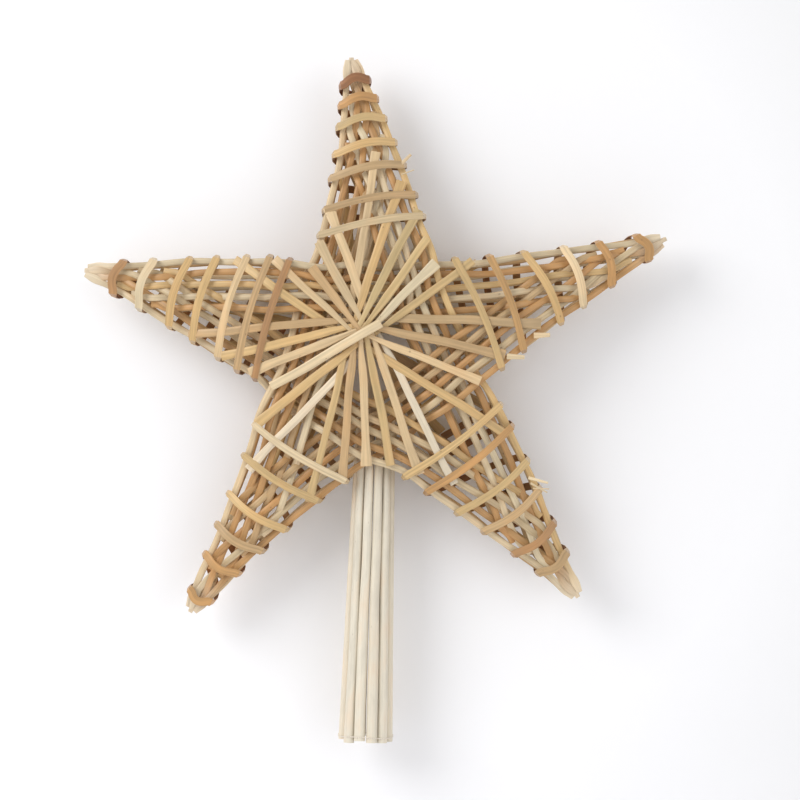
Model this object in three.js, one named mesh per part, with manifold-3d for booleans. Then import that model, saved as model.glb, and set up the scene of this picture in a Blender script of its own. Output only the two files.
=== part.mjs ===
// Woven straw star with a hollow straw stem, made to stand on the tip of a tree.
// Millimetres, +Z up along the stem, the front of the star faces -Y. The origin is the middle of the
// stem's open mouth. Two layers of straw bands make a five-pointed star that is hollow inside. Flat
// straws fan out over both faces from a hub, and a split-straw ribbon is wound round each arm.

import * as THREE from 'three';
import { mergeVertices } from 'three/addons/utils/BufferGeometryUtils.js';
import Module from 'manifold-3d';

const wasm = await Module();
wasm.setup();

// ---- Driving dimensions ----------------------------------------------------------------------

// The star: its middle above the mouth, the regular star it is laid out on, and how it is puffed up.
// An arm's own turn and bow hold within armSector degrees of it and are gone at notchSector.
const STAR = {
  x: -1.8,
  z: 143.7,
  reach: 115,
  lean: 4.64,
  firstArm: 18,
  armStep: 72,
  armSector: 27,
  notchSector: 45,
  shoulder: 44,
  girthFrom: 36,
  girthFull: 50,
  halfHollow: 8.2,
  tipHollow: 0.2,
  edgePinch: 0.62,
  pinchShare: 0.35,
  tipThin: 0.42,
  edgeSlope: 0.29,
  edgeSpare: 0.3,
  tipHalfWidth: 3.4,
};

// The arms, anticlockwise seen from the front. turn: degrees off the regular star. reach: tip to middle.
// bow: how far the arm bends clockwise. girth: its width against an even arm. tilt: how the ribbon's
// front runs slope. wraps: where the ribbon crosses the front, out from the middle.
const ARMS = [
  { name: 'right', turn: 0.8, reach: 116.5, bow: 0.5, girth: 0.96, tilt: -0.03 },
  { name: 'top', turn: 1.4, reach: 110.9, bow: 3.6, girth: 0.97, tilt: -0.12 },
  { name: 'left', turn: -1.2, reach: 112, bow: 2.2, girth: 1.08, tilt: 0 },
  { name: 'lower_left', turn: -2.3, reach: 117.2, bow: 1.4, girth: 0.88, tilt: -0.07 },
  { name: 'lower_right', turn: 1.5, reach: 118, bow: -2.4, girth: 1.03, tilt: 0.06 },
];
const WRAPS = {
  right: [41, 52, 66.5, 78.5, 91, 106],
  top: [49, 58, 70, 79, 89, 97, 104.5],
  left: [40, 47.5, 56, 67, 77, 90, 101],
  lower_left: [44, 55.5, 70.5, 82, 93.5, 107.5],
  lower_right: [42, 51, 64, 75, 88, 99],
};

// A band: parallel straws from one tip to the next but one.
const BAND = {
  straws: 5,
  pitch: 4.5,
  straw: 3.3,
  tipStraw: 2.7,
  thick: 2.7,
  sides: 5,
  layerGap: 0.5,
  rampNear: 4.2,
  rampGrow: 0.34,
  pinchRun: 6,
  tipDraw: 0.7,
  touch: 2.1,
};

// The flattened straws that fan out from the hub.
const SPOKE = {
  width: 3,
  thick: 1,
  gap: 0.7,
  edge: 4,
  start: 1.5,
  hubRise: 1.9,
  hubRun: 9,
  hubEnd: 14.4,
  layerRise: 0.03,
  layDown: 3,
  lastRun: 4,
};
const HUB = { x: -4.4, z: 8.8 };

// Front spokes lie in five fans, one into each notch between two arms, anticlockwise from the notch left
// of the right arm. spread: degrees from a fan's first straw to its last. turn: its middle off the notch.
const FRONT_FANS = [
  { straws: 6, spread: 44, turn: 2 },
  { straws: 5, spread: 36, turn: -1 },
  { straws: 6, spread: 42, turn: 5 },
  { straws: 6, spread: 40, turn: 4 },
  { straws: 4, spread: 30, turn: -2 },
];

// Every fan's straws pass the hub's middle, first on one side of it and then on the other, missSpread each
// way. The middle ones end at the notch and the outer ones run on up the arms.
const FAN = { miss: 0.5, missSpread: 4.5, notchEnd: 49, armEnd: 66 };

// The back is plainer: evenly fanned straws, each a little off its even place. The paces keep the three
// kinds of unevenness out of step with each other.
const BACK_FAN = {
  straws: 20,
  first: 9,
  wander: 3,
  wanderPace: 2.1,
  miss: 3,
  missPace: 1.7,
  end: 54,
  endWander: 7,
  endPace: 2.9,
};

// The ribbon wound round each arm. spread: where it has a point across the arm, in half widths.
// behind: how much of the way to the next wrap it has gained at each of those points on the back.
const RIBBON = {
  width: 2.5,
  thick: 0.7,
  gap: 0.6,
  corner: 0.9,
  spread: [1, 0.5, 0, -0.5, -1],
  behind: [0.14, 0.32, 0.5, 0.68, 0.86],
};

// The stem: hollow straws in a ring that narrows upwards, the top tucked between the two layers.
const STEM = {
  straws: 12,
  top: 124,
  mouthRing: 8.55,
  neckRing: 6.05,
  mouthAcross: 2.1,
  neckAcross: 1.42,
  mouthDeep: 1.8,
  neckDeep: 1.25,
  wall: 0.55,
  sides: 6,
  ragged: 1.1,
  cutPace: 2.4,
  cutStart: 0.6,
};
const THREAD = { thick: 0.4, gap: 0.3, steps: 20, mouthHeight: 2.2, neckHeight: 104 };

const STRAW_COLOURS = {
  band: 0xd9b98a,
  spoke: 0xdcbc7e,
  wrap: 0xc9995c,
  stem: 0xeadfc4,
  thread: 0xe9e4d8,
};

// ---- Small helpers -----------------------------------------------------------------------------

const lerp = THREE.MathUtils.lerp;
const radians = THREE.MathUtils.degToRad;
const FRONT = -1;
const BACK = 1;

function unit(degrees) {
  return new THREE.Vector2(Math.cos(radians(degrees)), Math.sin(radians(degrees)));
}

function leftOf(direction) {
  return new THREE.Vector2(-direction.y, direction.x);
}

// Puts a place on the star's plane (x across, y up, from the star's middle) at a depth into space.
function inSpace(place, depth) {
  return new THREE.Vector3(STAR.x + place.x, depth, STAR.z + place.y);
}

// Skins a row of rings of points into one closed solid with flat ends.
function loft(rings) {
  const sides = rings[0].length;
  const corners = rings.flat();
  const faces = [];
  for (let row = 0; row + 1 < rings.length; row += 1) {
    addBelt(faces, row * sides, (row + 1) * sides, sides);
  }
  const last = (rings.length - 1) * sides;
  for (let side = 1; side + 1 < sides; side += 1) {
    faces.push(0, side + 1, side);
    faces.push(last, last + side, last + side + 1);
  }
  return closedGeometry(corners, faces);
}

// Skins rings that come back to the first one, for a loop or the wall of a tube.
function loftLoop(rings) {
  const sides = rings[0].length;
  const faces = [];
  for (let row = 0; row < rings.length; row += 1) {
    addBelt(faces, row * sides, ((row + 1) % rings.length) * sides, sides);
  }
  return closedGeometry(rings.flat(), faces);
}

function addBelt(faces, here, there, sides) {
  for (let side = 0; side < sides; side += 1) {
    const next = (side + 1) % sides;
    faces.push(here + side, here + next, there + next);
    faces.push(here + side, there + next, there + side);
  }
}

// Builds the geometry and turns its faces outwards, whichever way its rings ran.
function closedGeometry(corners, faces) {
  let volume = 0;
  for (let i = 0; i < faces.length; i += 3) {
    const [a, b, c] = [corners[faces[i]], corners[faces[i + 1]], corners[faces[i + 2]]];
    volume += a.dot(new THREE.Vector3().crossVectors(b, c));
  }
  const geometry = new THREE.BufferGeometry().setFromPoints(corners);
  geometry.setIndex(volume > 0 ? faces : faces.toReversed());
  return geometry;
}

function toSolid(geometry) {
  const merged = mergeVertices(geometry, 1e-4);
  const vertProperties = new Float32Array(merged.attributes.position.array);
  const triVerts = new Uint32Array(merged.index.array);
  return new wasm.Manifold(new wasm.Mesh({ numProp: 3, vertProperties, triVerts }));
}

// Fuses solids that touch into one.
function fuse(geometries) {
  let whole = toSolid(geometries[0]);
  for (const geometry of geometries.slice(1)) {
    whole = whole.add(toSolid(geometry));
  }
  const mesh = whole.getMesh();
  const geometry = new THREE.BufferGeometry();
  geometry.setAttribute('position', new THREE.BufferAttribute(mesh.vertProperties, 3));
  geometry.setIndex(new THREE.BufferAttribute(mesh.triVerts, 1));
  return geometry;
}

// ---- The star's form -----------------------------------------------------------------------------

function regularBearing(arm) {
  return STAR.lean + STAR.firstArm + STAR.armStep * arm;
}

function armAxis(arm) {
  return unit(regularBearing(arm) + ARMS[arm].turn);
}

// How far a bent arm has moved sideways, clockwise, at a share of its reach.
function bowAt(arm, share) {
  return ARMS[arm].bow * Math.sin(Math.PI * THREE.MathUtils.clamp(share, 0, 1));
}

// Half the width of an arm at a distance along it.
function halfWidth(arm, along) {
  const even = STAR.edgeSlope * (STAR.reach - along) + STAR.edgeSpare;
  const own = lerp(1, ARMS[arm].girth, THREE.MathUtils.smoothstep(along, STAR.girthFrom, STAR.girthFull));
  return Math.hypot(even * own, STAR.tipHalfWidth);
}

// A place in an arm: along it, and across it (anticlockwise is positive).
function onArm(arm, along, across) {
  const axis = armAxis(arm);
  const shift = across - bowAt(arm, along / STAR.reach);
  const scaled = (along * ARMS[arm].reach) / STAR.reach;
  return axis.clone().multiplyScalar(scaled).addScaledVector(leftOf(axis), shift);
}

function readArm(arm, place) {
  const axis = armAxis(arm);
  const along = (place.dot(axis) * STAR.reach) / ARMS[arm].reach;
  const across = place.dot(leftOf(axis)) + bowAt(arm, along / STAR.reach);
  return { arm, along, across };
}

function nearestArm(place) {
  const readings = ARMS.map((_, arm) => readArm(arm, place));
  return readings.reduce((best, next) => (next.along > best.along ? next : best));
}

// Moves a place of the regular star to where it lies in this star, whose arms are not quite alike.
function asMade(place) {
  const bearing = THREE.MathUtils.radToDeg(Math.atan2(place.y, place.x));
  const share = place.length() / STAR.reach;
  const made = new THREE.Vector2();
  ARMS.forEach((arm, index) => {
    const off = THREE.MathUtils.euclideanModulo(bearing - regularBearing(index) + 180, 360) - 180;
    const weight = 1 - THREE.MathUtils.smoothstep(Math.abs(off), STAR.armSector, STAR.notchSector);
    const stretch = 1 + (arm.reach / STAR.reach - 1) * share;
    const moved = place.clone().rotateAround(new THREE.Vector2(), radians(arm.turn));
    const clockwise = leftOf(armAxis(index)).negate();
    moved.multiplyScalar(stretch).addScaledVector(clockwise, bowAt(index, share));
    made.addScaledVector(moved, weight);
  });
  return made;
}

// How the star is puffed up at a place: half the hollow, and how much the straws are flattened.
function puff(place) {
  const { arm, along, across } = nearestArm(place);
  const outwards = THREE.MathUtils.clamp((along - STAR.shoulder) / (STAR.reach - STAR.shoulder), 0, 1);
  const share = Math.min(1, Math.abs(across) / halfWidth(arm, along));
  const pinch = STAR.edgePinch * Math.min(1, outwards / STAR.pinchShare);
  const middle = lerp(STAR.halfHollow, STAR.tipHollow, outwards);
  return { hollow: middle * (1 - pinch * share * share), thin: lerp(1, STAR.tipThin, outwards) };
}

// Depth of each layer from the star's mid-plane: band 0 inside, band 1 outside, spokes, ribbon.
function bandDepth(place, level) {
  const { hollow, thin } = puff(place);
  return hollow + thin * BAND.thick * (0.5 + level) + BAND.layerGap * level;
}

function spokeDepth(place) {
  const { hollow, thin } = puff(place);
  return hollow + thin * BAND.thick * 2 + BAND.layerGap + SPOKE.gap + SPOKE.thick / 2;
}

function ribbonDepth(place) {
  return spokeDepth(place) + SPOKE.thick / 2 + RIBBON.gap;
}

// ---- Bands ---------------------------------------------------------------------------------------

function bandStrawWidth(along) {
  return lerp(BAND.straw, BAND.tipStraw, THREE.MathUtils.clamp(along / STAR.reach, 0, 1));
}

// Distance of a straw from the arm's centre line, towards its own band's edge.
function strawAcross(arm, index, along) {
  return halfWidth(arm, along) - bandStrawWidth(along) / 2 - index * BAND.pitch;
}

// A straw ends at the tip, or where it meets the far edge of the arm.
function strawEnd(arm, index) {
  const meets = (BAND.tipStraw + index * BAND.pitch) / 2;
  let end = STAR.reach - 1;
  while (halfWidth(arm, end) < meets) {
    end -= 0.5;
  }
  return end;
}

// The half of a straw from the band's middle out along one arm, as places in the regular star.
function strawHalf(from, index, towards) {
  const arm = (towards > 0 ? from + 2 : from) % ARMS.length;
  const axis = unit(regularBearing(arm));
  const outer = leftOf(axis).multiplyScalar(-towards);
  const end = strawEnd(arm, index);
  const beforeEnd = end - BAND.pinchRun;
  const bend = lerp(STAR.shoulder, STAR.reach, STAR.pinchShare);
  const stops = [STAR.shoulder, bend, beforeEnd, end];
  const places = stops.map((along) => {
    const draw = along === end && index > 0 ? BAND.pitch - BAND.touch : 0;
    const gather = along === end && index < 2 ? BAND.tipDraw : 1;
    const across = gather * (strawAcross(arm, index, along) + draw);
    return { place: axis.clone().multiplyScalar(along).addScaledVector(outer, across), along };
  });
  const normal = unit(regularBearing(from) + STAR.armStep);
  const run = leftOf(normal).multiplyScalar(towards);
  const inset = places[0].place.dot(normal);
  const ramp = BAND.rampNear + BAND.rampGrow * index * BAND.pitch;
  const start = normal.multiplyScalar(inset).addScaledVector(run, ramp);
  return [{ place: start, along: 0 }, ...places];
}

function bandStraw(from, index, face) {
  const stations = [];
  for (const towards of [-1, 1]) {
    const half = strawHalf(from, index, towards).map(({ place, along }) => {
      const made = asMade(place);
      const depth = face * bandDepth(made, towards > 0 ? 1 : 0);
      return { place: made, depth, width: bandStrawWidth(along), thick: BAND.thick * puff(made).thin };
    });
    stations.push(...(towards < 0 ? half.reverse() : half));
  }
  return loft(ringsAlong(stations, BAND.sides, face));
}

// Rings of an oval straw, square to its run in the star's plane.
function ringsAlong(stations, sides, face) {
  return stations.map(({ place, depth, width, thick }, i) => {
    const before = stations[Math.max(0, i - 1)].place;
    const after = stations[Math.min(stations.length - 1, i + 1)].place;
    const side = leftOf(after.clone().sub(before).normalize());
    return Array.from({ length: sides }, (_, n) => {
      const turn = (2 * Math.PI * n) / sides + Math.PI / 2;
      const across = place.clone().addScaledVector(side, (width / 2) * Math.cos(turn));
      return inSpace(across, depth + face * (thick / 2) * Math.sin(turn));
    });
  });
}

function band(from, face) {
  const straws = Array.from({ length: BAND.straws }, (_, index) => bandStraw(from, index, face));
  return fuse(straws);
}

// ---- Spokes --------------------------------------------------------------------------------------

// A spoke stops short of the arm's edge, where the ribbon turns.
function insideArm(place) {
  const { arm, along, across } = nearestArm(place);
  return Math.abs(across) < halfWidth(arm, along) - SPOKE.edge;
}

function spoke([bearing, miss, wanted], order, face) {
  const run = unit(bearing);
  const at = (out) =>
    new THREE.Vector2(HUB.x, HUB.z).addScaledVector(run, out).addScaledVector(leftOf(run), miss);
  let end = wanted;
  while (!insideArm(at(end))) {
    end -= 1;
  }
  const tip = readArm(nearestArm(at(end)).arm, at(end));
  const root = readArm(tip.arm, at(0));
  const shoulder = (end * (STAR.shoulder - root.along)) / (tip.along - root.along);
  const overHub = [SPOKE.start, SPOKE.hubEnd];
  const inArm = end > shoulder + SPOKE.lastRun ? [shoulder, (shoulder + end) / 2, end] : [end];
  const stops = [...overHub, ...inArm];
  const rings = stops.map((out) => {
    const place = at(out);
    const rise = SPOKE.hubRise * Math.exp(-((out / SPOKE.hubRun) ** 2)) + SPOKE.layerRise * order;
    const lift = out < shoulder - SPOKE.layDown ? rise : 0;
    const half = leftOf(run).multiplyScalar(SPOKE.width / 2);
    const edges = [place.clone().add(half), place.clone().sub(half)];
    const [left, right] = edges.map((edge) => inSpace(edge, face * (spokeDepth(edge) + lift)));
    const up = new THREE.Vector3(0, (face * SPOKE.thick) / 2, 0);
    const under = [left.clone().sub(up), right.clone().sub(up)];
    return [...under, right.clone().add(up), left.clone().add(up)];
  });
  return loft(rings);
}

// One fan's straws: bearing, how far each misses the hub's middle, and where it ends.
function fanRows({ straws, spread, turn }, notch) {
  const middle = regularBearing(notch) + STAR.armStep / 2 + turn;
  return Array.from({ length: straws }, (_, i) => {
    const off = (2 * i) / (straws - 1) - 1;
    const miss = FAN.miss + FAN.missSpread * off;
    return [middle + (off * spread) / 2, miss, lerp(FAN.notchEnd, FAN.armEnd, off * off)];
  });
}

function frontSpokes() {
  return fuse(FRONT_FANS.flatMap(fanRows).map((row, order) => spoke(row, order, FRONT)));
}

function backSpokes() {
  const rows = Array.from({ length: BACK_FAN.straws }, (_, i) => {
    const even = BACK_FAN.first + (360 / BACK_FAN.straws) * i;
    const bearing = even + BACK_FAN.wander * Math.sin(BACK_FAN.wanderPace * i);
    const miss = BACK_FAN.miss * Math.sin(BACK_FAN.missPace * i);
    const end = BACK_FAN.end + BACK_FAN.endWander * Math.sin(BACK_FAN.endPace * i);
    return [bearing, miss, end];
  });
  return fuse(rows.map((row, order) => spoke(row, order, BACK)));
}

// ---- Ribbons round the arms ------------------------------------------------------------------------

function ribbonPoint(arm, { along, across, face }) {
  const corner = Math.abs(across) === 1 ? RIBBON.corner * across : 0;
  const place = onArm(arm, along, across * halfWidth(arm, along) + corner);
  return inSpace(place, face * ribbonDepth(place));
}

// One ribbon wound out along an arm: over the front at each place listed, and one turn on behind.
function ribbonPath(arm) {
  const wraps = WRAPS[ARMS[arm].name];
  const path = [];
  wraps.forEach((along, turn) => {
    for (const across of RIBBON.spread) {
      const lean = ARMS[arm].tilt * across * halfWidth(arm, along);
      path.push({ along: along + lean, across, face: FRONT });
    }
    if (turn + 1 < wraps.length) {
      const advance = wraps[turn + 1] - along;
      RIBBON.spread.forEach((across, step) => {
        path.push({ along: along + advance * RIBBON.behind[step], across: -across, face: BACK });
      });
    }
  });
  return path;
}

function ribbon(arm) {
  const path = ribbonPath(arm);
  const points = path.map((stop) => ribbonPoint(arm, stop));
  const rings = points.map((point, i) => {
    const before = points[Math.max(0, i - 1)];
    const after = points[Math.min(points.length - 1, i + 1)];
    const run = after.clone().sub(before).normalize();
    const core = inSpace(onArm(arm, path[i].along, 0), 0);
    const out = point.clone().sub(core);
    out.addScaledVector(run, -out.dot(run)).normalize();
    const edge = new THREE.Vector3().crossVectors(run, out).multiplyScalar(RIBBON.width / 2);
    const over = out.multiplyScalar(RIBBON.thick);
    const [left, right] = [point.clone().add(edge), point.clone().sub(edge)];
    return [left, right, right.clone().add(over), left.clone().add(over)];
  });
  return loft(rings);
}

// ---- Stem ------------------------------------------------------------------------------------------

function stemStraw(index) {
  const bearing = (360 / STEM.straws) * (index + 0.5);
  const outwards = unit(bearing);
  const sideways = leftOf(outwards);
  const cut = (STEM.ragged * (1 + Math.sin(STEM.cutPace * index + STEM.cutStart))) / 2;
  const foot = index === 0 ? 0 : cut;
  const ring = (height, inset) => {
    const rise = height / STEM.top;
    const middle = outwards.clone().multiplyScalar(lerp(STEM.mouthRing, STEM.neckRing, rise));
    const across = lerp(STEM.mouthAcross, STEM.neckAcross, rise) - inset;
    const deep = lerp(STEM.mouthDeep, STEM.neckDeep, rise) - inset;
    return Array.from({ length: STEM.sides }, (_, n) => {
      const turn = (2 * Math.PI * n) / STEM.sides;
      const place = middle.clone().addScaledVector(sideways, across * Math.cos(turn));
      place.addScaledVector(outwards, deep * Math.sin(turn));
      return new THREE.Vector3(place.x, place.y, height);
    });
  };
  const { wall, top } = STEM;
  return loftLoop([ring(foot, 0), ring(top, 0), ring(top, wall), ring(foot, wall)]);
}

// A thread tied round the stem at a height.
function tie(height) {
  const rise = height / STEM.top;
  const middle = lerp(STEM.mouthRing, STEM.neckRing, rise);
  const inner = middle + lerp(STEM.mouthDeep, STEM.neckDeep, rise) + THREAD.gap;
  const rings = Array.from({ length: THREAD.steps }, (_, n) => {
    const out = unit((360 / THREAD.steps) * n);
    const corner = (radius, up) => new THREE.Vector3(out.x * radius, out.y * radius, height + up);
    const [near, far, half] = [inner, inner + THREAD.thick, THREAD.thick / 2];
    return [corner(near, -half), corner(far, -half), corner(far, half), corner(near, half)];
  });
  return loftLoop(rings);
}

// ---- The whole topper ------------------------------------------------------------------------------

function straw(colour, roughness = 0.55) {
  return new THREE.MeshStandardMaterial({ color: colour, roughness, metalness: 0 });
}

const MATERIALS = {
  band: straw(STRAW_COLOURS.band),
  spoke: straw(STRAW_COLOURS.spoke, 0.45),
  wrap: straw(STRAW_COLOURS.wrap, 0.5),
  stem: straw(STRAW_COLOURS.stem, 0.5),
  thread: straw(STRAW_COLOURS.thread, 0.9),
};

const topper = new THREE.Group();

function addPiece(name, geometry, material) {
  const mesh = new THREE.Mesh(geometry, material);
  mesh.name = name;
  topper.add(mesh);
}

ARMS.forEach((arm, index) => {
  const far = ARMS[(index + 2) % ARMS.length];
  addPiece(`front_band_${arm.name}_to_${far.name}`, band(index, FRONT), MATERIALS.band);
  addPiece(`back_band_${arm.name}_to_${far.name}`, band(index, BACK), MATERIALS.band);
  addPiece(`ribbon_${arm.name}_arm`, ribbon(index), MATERIALS.wrap);
});
addPiece('front_spokes', frontSpokes(), MATERIALS.spoke);
addPiece('back_spokes', backSpokes(), MATERIALS.spoke);
for (let index = 0; index < STEM.straws; index += 1) {
  addPiece(`stem_straw_${String(index + 1).padStart(2, '0')}`, stemStraw(index), MATERIALS.stem);
}
addPiece('mouth_thread', tie(THREAD.mouthHeight), MATERIALS.thread);
addPiece('neck_thread', tie(THREAD.neckHeight), MATERIALS.thread);

export default topper;
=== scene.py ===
import math
from types import SimpleNamespace as Sizes

import bmesh
import bpy
import numpy as np
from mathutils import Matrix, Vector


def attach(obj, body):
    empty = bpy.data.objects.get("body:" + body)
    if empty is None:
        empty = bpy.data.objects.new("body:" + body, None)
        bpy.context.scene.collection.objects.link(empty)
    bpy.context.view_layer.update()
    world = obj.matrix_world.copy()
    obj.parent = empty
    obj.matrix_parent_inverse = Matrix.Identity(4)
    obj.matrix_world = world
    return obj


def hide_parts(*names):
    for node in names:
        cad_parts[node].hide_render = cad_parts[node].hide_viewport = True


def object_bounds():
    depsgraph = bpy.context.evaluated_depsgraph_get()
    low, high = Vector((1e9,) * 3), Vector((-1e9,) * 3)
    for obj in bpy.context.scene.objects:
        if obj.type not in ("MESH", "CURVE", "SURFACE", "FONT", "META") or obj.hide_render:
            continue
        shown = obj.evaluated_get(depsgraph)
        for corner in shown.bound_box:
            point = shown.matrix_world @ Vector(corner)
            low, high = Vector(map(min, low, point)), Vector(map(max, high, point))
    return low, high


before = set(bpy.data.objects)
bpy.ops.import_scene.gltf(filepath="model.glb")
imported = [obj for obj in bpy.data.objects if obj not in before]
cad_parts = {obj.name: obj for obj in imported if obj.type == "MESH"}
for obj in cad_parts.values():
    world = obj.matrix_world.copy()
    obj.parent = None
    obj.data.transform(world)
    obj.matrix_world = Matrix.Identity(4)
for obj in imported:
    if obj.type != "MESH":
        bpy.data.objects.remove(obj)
cad_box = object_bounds()

# Looks of a woven straw star that slips over the tip of a tree. Lengths are in millimetres unless a
# comment gives another unit, and MM makes them metres. +Z runs up the stem, the star's front faces -Y, and
# the origin is the middle of the stem's open mouth.
MM = 0.001
FRONT = -1
BACK = 1

# ---- Driving sizes ---------------------------------------------------------------------------------

# The star, on the same sizes as its solids: see half_width(), as_made() and puff() for what each one does.
STAR = Sizes(
    x=-1.8, z=143.7, reach=115.0, lean=4.64, first_arm=18.0, arm_step=72.0, arm_sector=27.0,
    notch_sector=45.0, shoulder=44.0, girth_from=36.0, girth_full=50.0, half_hollow=8.2,
    tip_hollow=0.2, edge_pinch=0.62, pinch_share=0.35, tip_thin=0.42, edge_slope=0.29,
    edge_spare=0.3, tip_half_width=3.4,
)
# The arms, anticlockwise seen from the front: degrees off the regular star, tip to middle, how far the arm
# bends clockwise, and its width against an even arm.
ARM_NAMES = ["right", "top", "left", "lower_left", "lower_right"]
ARM_TURN = np.array([0.8, 1.4, -1.2, -2.3, 1.5])
ARM_REACH = np.array([116.5, 110.9, 112.0, 117.2, 118.0])
ARM_BOW = np.array([0.5, 3.6, 2.2, 1.4, -2.4])
ARM_GIRTH = np.array([0.96, 0.97, 1.08, 0.88, 1.03])

# A band: parallel straws from one tip to the next but one, laid in two layers and woven in the arms
# (weave_*). The ribbon crushes their ends: they splay, shrink and turn pale there.
BAND = Sizes(
    straws=5, pitch=4.5, straw=2.7, tip_straw=2.35, thick=2.7, layer_gap=0.5, ramp_near=4.2,
    ramp_grow=0.34, pinch_run=6.0, tip_draw=0.7, touch=2.1, wall=0.35, open_end=3.5, sides=12,
    squared=0.75, pressed=0.62, slack=0.98, weave=0.8, weave_run=8.0, weave_edge=0.7, crush=9.0,
    outer_straws=2, splay=0.5, inner_splay=0.15, shrink=0.3, fade=16.0, overrun=(-1.0, 2.2),
    end_spare=1.0, end_step=0.5, root_steps=22, middle_steps=9, arm_steps=46, tone_spread=0.06,
    pale_tip=0.85, pale_from=0.75,
)
# Slow unevenness of a band's straws, as (size, wavelength): sideways and in depth in mm, width as a share.
BAND_DRIFT = Sizes(sideways=(0.5, 70.0), depth=(0.08, 40.0), width=(0.035, 34.0))
BAND_TONES = ["pale", "cream", "tan", "cream", "golden", "pale", "amber"]

# The flattened straws that fan out from the hub. They lie higher on the bands the sooner they come out
# from under the others (layer, layer_fall), and settle onto them away from the hub (hub_run).
SPOKE = Sizes(
    width=3.0, thick=1.0, gap=0.7, edge=0.4, sides=16, squared=0.62, slack=0.95, layer=3.4,
    layer_fall=6.0, highest=-2.0, hub_run=13.0, under_hub=-0.5, flare=0.35, flare_run=11.0, dip=1.0,
    dip_from=12.0, dip_to=24.0, dip_miss=4.0, widths=(0.88, 1.14), root_width=0.6, root_from=4.0,
    root_to=16.0, drift_from=4.0, drift_to=20.0, steps=64, least_steps=8,
)
SPOKE_DRIFT = Sizes(sideways=(0.25, 60.0), width=(0.025, 30.0))
HUB = np.array([-4.4, 8.8])

# The split straw wound round each arm. It folds outside the arm's edges (fold_*) and its two ends are
# tucked in at the back: from tuck_in to tuck_edge across, in half widths.
RIBBON = Sizes(
    width=2.7, tip_width=3.3, thick=0.32, gap=0.6, sides=10, squared=0.7, fold_out=1.7,
    fold_start=0.9, fold_width=0.6, fold_from=0.96, tuck=4.0, tuck_in=0.1, tuck_edge=0.97,
    back_from=0.08, back_to=0.92, turn_from=0.3, turn_to=0.6, tone_spread=0.04, steps=25, tuck_steps=9,
)
RIBBON_DRIFT = Sizes(width=(0.05, 45.0))
# Painted shade on a split straw's inner face: its tint against the outer face's, darker, and much browner.
PAINTED_SHADE_INNER_FACE = np.array([0.5, 0.36, 0.28])

# The stem: hollow straws in a ring that narrows upwards, half sizes across and deep at mouth and neck.
STEM = Sizes(
    straws=12, top=124.0, mouth_ring=8.55, neck_ring=6.05, mouth_across=2.1, neck_across=1.42,
    mouth_deep=1.8, neck_deep=1.25, wall=0.42, open_end=9.0, sides=20, squared=0.95, ragged=1.1,
    cut_pace=2.4, cut_start=0.6, mouth_top=6.0, mouth_steps=8, shaft_from=8.0, shaft_steps=60,
    gold_from=92.0, gold_to=112.0, gold=0.5, tone_spread=0.025,
)
STEM_DRIFT = Sizes(sideways=(0.12, 90.0), width=(0.015, 50.0))
# The threads tied round the stem: a dip between straws, and waves up and down on the way round.
THREAD = Sizes(
    thick=0.4, gap=0.3, mouth_height=2.2, neck_height=104.0, dip=0.5, flat=0.8, sides=8,
    wave=0.25, waves=3, wave_start=40.0, steps_a_straw=24,
)

# Tones of dry wheat straw, from bleached to red-brown, and of what goes with it: painted shade inside the
# open ends of the band straws and of the stem's straws, honey stains, earth-brown specks, and the thread.
TONES = {
    "white": "#e3d2b6",
    "cream": "#dfc9a3",
    "pale": "#d8bc91",
    "golden": "#cfae79",
    "tan": "#c2a276",
    "amber": "#c0945f",
    "brown": "#b1865a",
    "rust": "#94643f",
    "stem": "#e4dac6",
    # painted shade inside the band straws' open ends
    "band_bore_shade": "#6b4330",
    # painted shade inside the stem straws' open ends
    "stem_bore_shade": "#a98a5e",
    "honey": "#c68a4c",
    "earth": "#6d472b",
    "thread": "#e9dfd0",
}

# The ribbon's front runs on each arm, out from the middle: [along the arm, slope, tone].
WRAPS = {
    "right": [
        [41, -0.03, "golden"], [52, 0.03, "amber"], [66.5, -0.11, "golden"], [78.5, 0.05, "cream"],
        [91, 0.09, "amber"], [106, -0.12, "amber"],
    ],
    "top": [
        [49, -0.12, "pale"], [58, -0.1, "tan"], [70, -0.12, "tan"], [79, -0.14, "golden"],
        [89, -0.12, "golden"], [97, -0.14, "amber"], [104.5, -0.16, "rust"],
    ],
    "left": [
        [40, 0, "brown"], [47.5, 0, "tan"], [56, 0, "pale"], [67, 0, "golden"], [77, 0.02, "golden"],
        [90, 0.02, "cream"], [101, 0.04, "brown"],
    ],
    "lower_left": [
        [44, -0.07, "cream"], [55.5, -0.07, "golden"], [70.5, -0.05, "golden"], [82, -0.08, "tan"],
        [93.5, -0.07, "amber"], [107.5, -0.08, "amber"],
    ],
    "lower_right": [
        [42, 0.06, "golden"], [51, 0.05, "amber"], [64, 0.07, "golden"], [75, 0.06, "tan"],
        [88, 0.05, "brown"], [99, 0.08, "tan"],
    ],
}
# How far a front run arches towards the tip, near the star's middle and at the tip.
ARCH = Sizes(near=1.6, tip=2.4)

# Front spokes lie in five fans, one into each notch between two arms, anticlockwise from the notch left of
# the right arm. spread: degrees from a fan's first straw to its last. turn: its middle off the notch.
FRONT_FANS = [
    Sizes(spread=44, turn=2, tones=["golden", "cream", "golden", "golden", "golden", "pale"]),
    Sizes(spread=36, turn=-1, tones=["pale", "pale", "tan", "pale", "golden"]),
    Sizes(spread=42, turn=5, tones=["tan", "golden", "pale", "cream", "golden", "white"]),
    Sizes(spread=40, turn=4, tones=["golden", "tan", "pale", "golden", "pale", "white"]),
    Sizes(spread=30, turn=-2, tones=["golden", "pale", "tan", "tan"]),
]

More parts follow.
